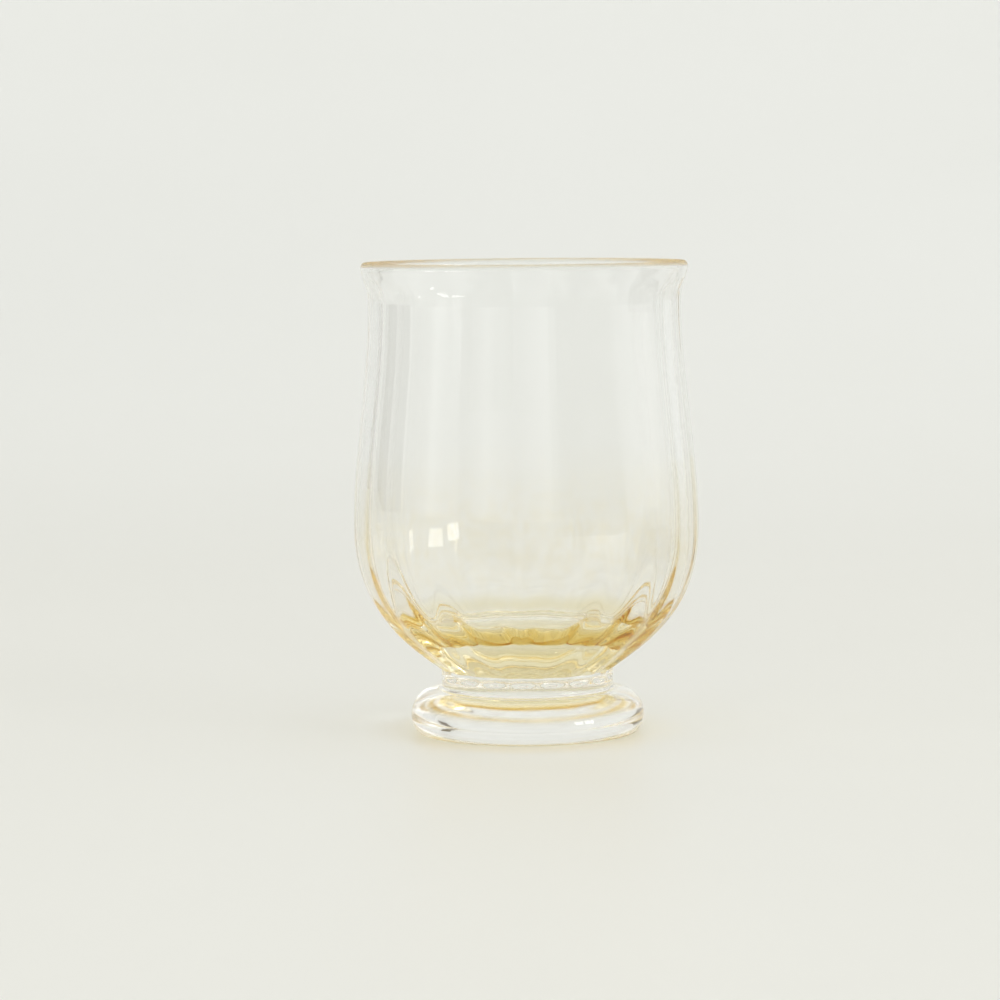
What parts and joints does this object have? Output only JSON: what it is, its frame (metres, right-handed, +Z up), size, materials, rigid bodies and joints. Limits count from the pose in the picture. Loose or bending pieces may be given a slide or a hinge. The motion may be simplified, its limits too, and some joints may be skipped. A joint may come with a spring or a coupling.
{
  "type": "sake cup",
  "caption": "Clear glass sake cup: rounded fluted bowl with a flared rim and an amber tint low down, on a short collar and a solid round foot.",
  "frame": {"origin": "middle of the foot's underside, on the table", "axes": "+Z up along the cup's axis, from foot to rim; a flute faces -Y"},
  "size_m": [0.06, 0.059, 0.0815],
  "materials": {
    "bowl_glass": "polished",
    "amber_glass": "polished",
    "foot_glass": "polished"
  },
  "bodies": {
    "root": {"bowl": "bowl_glass", "amber_lining": "amber_glass", "collar": "foot_glass", "foot": "foot_glass"}
  },
  "joints": []
}
